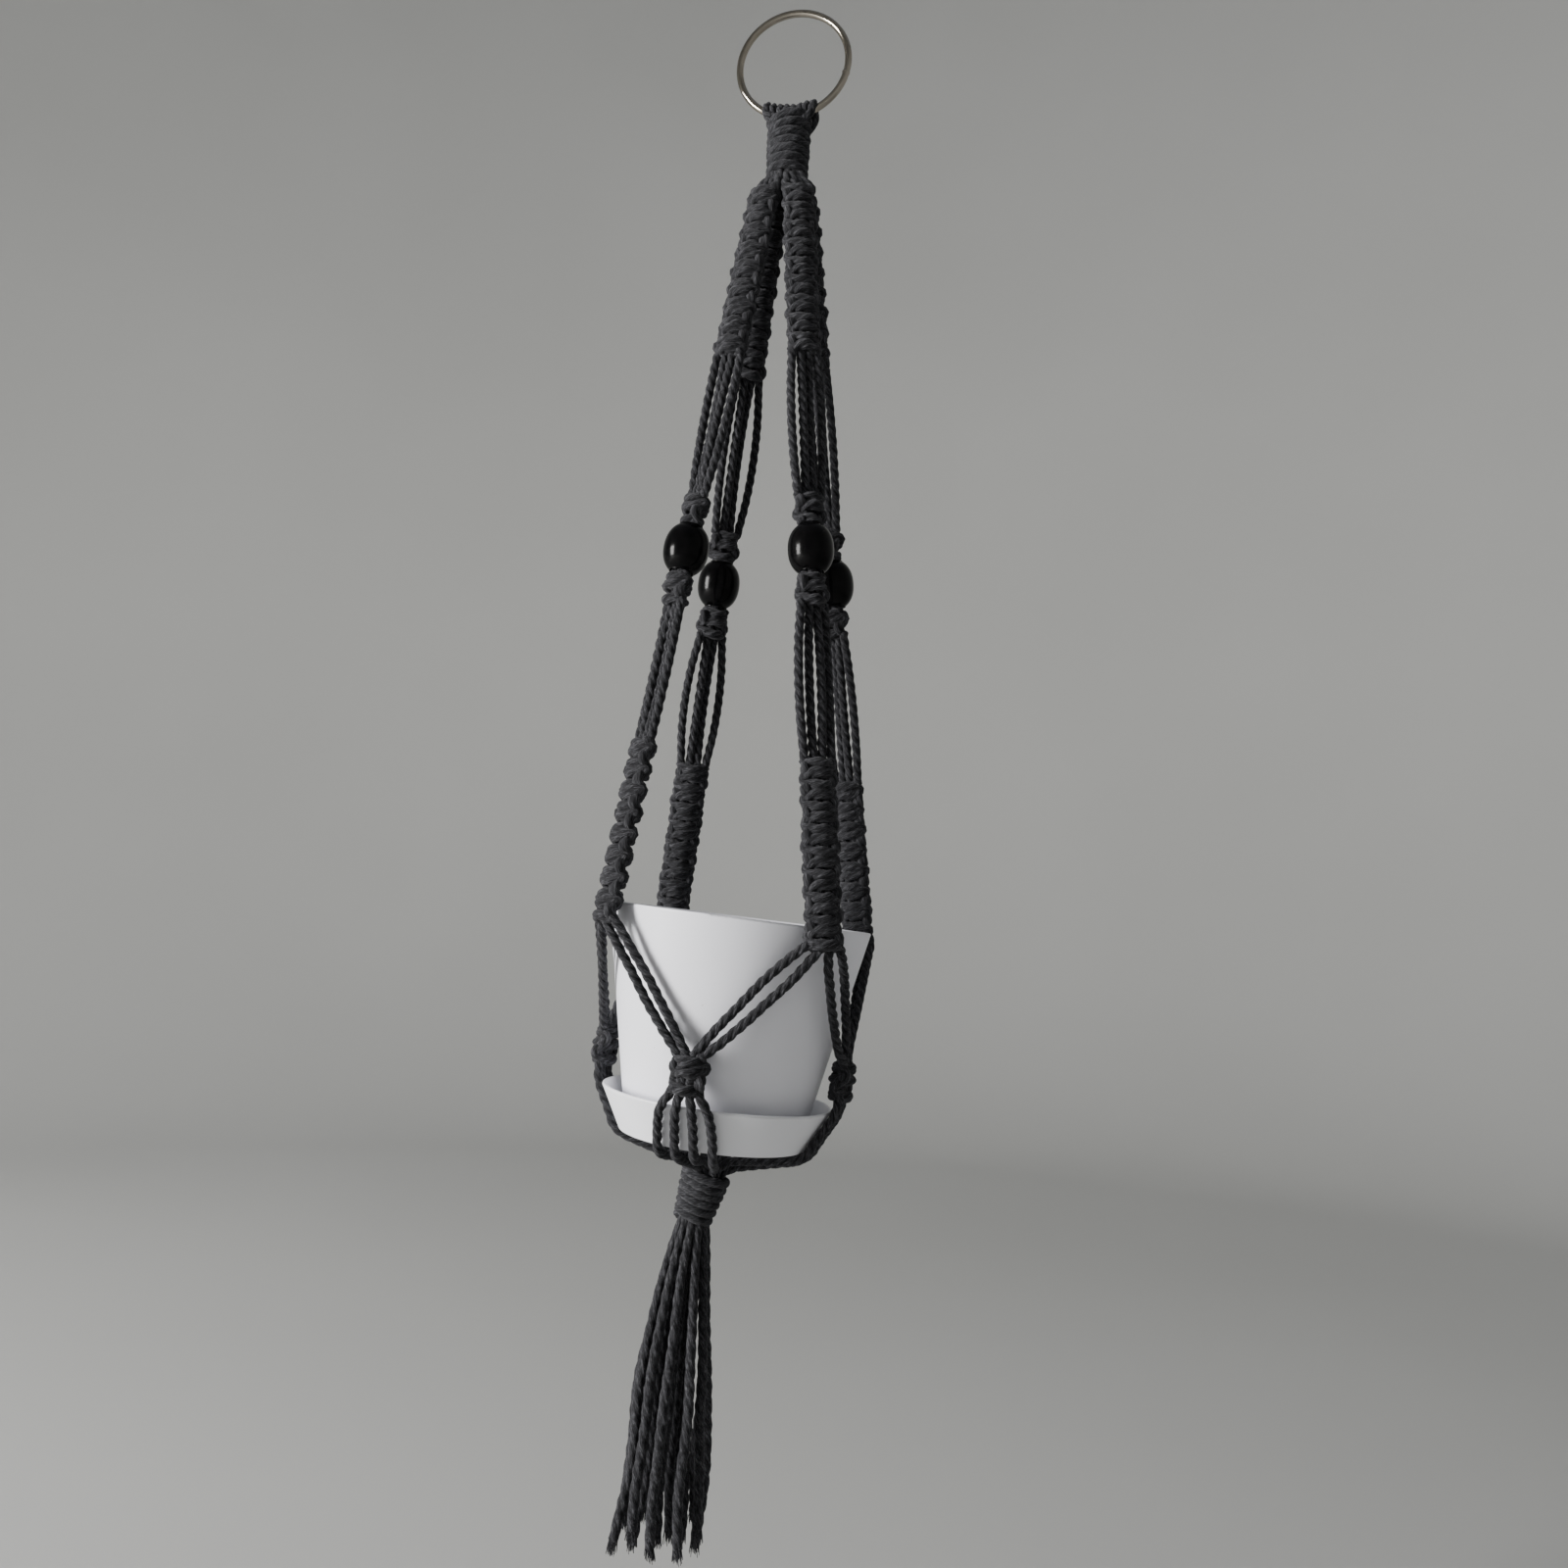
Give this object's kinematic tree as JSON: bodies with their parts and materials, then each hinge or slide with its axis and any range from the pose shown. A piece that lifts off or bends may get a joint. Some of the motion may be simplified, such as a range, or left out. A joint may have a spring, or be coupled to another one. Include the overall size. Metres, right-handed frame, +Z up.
{
  "type": "hanging macrame planter",
  "caption": "Slim hanging planter: a metal ring, a knotted cord sling with barrel beads and a tassel, and a tapered pot in a shallow saucer.",
  "frame": {"origin": "the inside of the ring's top, where the nail or hook bears", "axes": "+Z up along the hanging line, the ring's plane is XZ, and the front is -Y"},
  "size_m": [0.1079, 0.1052, 0.6246],
  "materials": {
    "ring_metal": "polished nickel-plated wire",
    "cord": "matte twisted cotton cord, charcoal",
    "bead_black": "high gloss",
    "pot_white": "satin white"
  },
  "bodies": {
    "ring": {"ring": "ring_metal"},
    "hanger": {"ring_loops": "cord", "top_wrap": "cord", "back_right_upper_sinnet": "cord", "back_right_upper_cords": "cord", "back_right_bead_knots": "cord", "back_right_lower_cords": "cord", "back_right_lower_sinnet": "cord", "back_right_basket_cords": "cord", "back_left_upper_sinnet": "cord", "back_left_upper_cords": "cord", "back_left_bead_knots": "cord", "back_left_lower_cords": "cord", "back_left_lower_sinnet": "cord", "back_left_basket_cords": "cord", "front_left_upper_sinnet": "cord", "front_left_upper_cords": "cord", "front_left_bead_knots": "cord", "front_left_lower_cords": "cord", "front_left_lower_sinnet": "cord", "front_left_basket_cords": "cord", "front_right_upper_sinnet": "cord", "front_right_upper_cords": "cord", "front_right_bead_knots": "cord", "front_right_lower_cords": "cord", "front_right_lower_sinnet": "cord", "front_right_basket_cords": "cord", "right_basket_knot": "cord", "right_basket_legs": "cord", "back_basket_knot": "cord", "back_basket_legs": "cord", "left_basket_knot": "cord", "left_basket_legs": "cord", "front_basket_knot": "cord", "front_basket_legs": "cord", "bottom_wrap": "cord"},
    "back_right_bead": {"back_right_bead": "bead_black"},
    "back_left_bead": {"back_left_bead": "bead_black"},
    "front_left_bead": {"front_left_bead": "bead_black"},
    "front_right_bead": {"front_right_bead": "bead_black"},
    "saucer": {"saucer": "pot_white"},
    "pot": {"pot": "pot_white"},
    "tassel": {"tassel_cord_01": "cord", "tassel_cord_02": "cord", "tassel_cord_03": "cord", "tassel_cord_04": "cord", "tassel_cord_05": "cord", "tassel_cord_06": "cord", "tassel_cord_07": "cord", "tassel_cord_08": "cord", "tassel_cord_09": "cord", "tassel_cord_10": "cord", "tassel_cord_11": "cord", "tassel_cord_12": "cord", "tassel_cord_13": "cord", "tassel_cord_14": "cord", "tassel_cord_15": "cord", "tassel_cord_16": "cord"}
  },
  "joints": [
    {"name": "hanger_swing", "type": "hinge", "parent": "ring", "child": "hanger", "pos_m": [0, 0, -0.0446], "axis": [1, 0, 0], "range_deg": [-45, 45]},
    {"name": "back_right_bead_spin", "type": "hinge", "parent": "hanger", "child": "back_right_bead", "pos_m": [0.02459, 0.02465, -0.24221], "axis": [0.1084, 0.1087, -0.9881], "continuous": true},
    {"name": "back_left_bead_spin", "type": "hinge", "parent": "hanger", "child": "back_left_bead", "pos_m": [-0.02492, 0.02498, -0.24213], "axis": [-0.1104, 0.1107, -0.9877], "continuous": true},
    {"name": "front_left_bead_spin", "type": "hinge", "parent": "hanger", "child": "front_left_bead", "pos_m": [-0.02492, -0.02498, -0.24213], "axis": [-0.1104, -0.1107, -0.9877], "continuous": true},
    {"name": "front_right_bead_spin", "type": "hinge", "parent": "hanger", "child": "front_right_bead", "pos_m": [0.02459, -0.02465, -0.24221], "axis": [0.1084, -0.1087, -0.9881], "continuous": true},
    {"name": "saucer_lift", "type": "slide", "parent": "hanger", "child": "saucer", "axis": [0.0698, 0, 0.9976], "range_m": [0, 0.003]},
    {"name": "pot_turn", "type": "hinge", "parent": "saucer", "child": "pot", "pos_m": [-0.00575, 0, -0.4652], "axis": [0.0698, 0, 0.9976], "continuous": true},
    {"name": "tassel_sway", "type": "hinge", "parent": "hanger", "child": "tassel", "pos_m": [-0.01226, 0, -0.50055], "axis": [0, 1, 0], "range_deg": [-40, 40]}
  ]
}
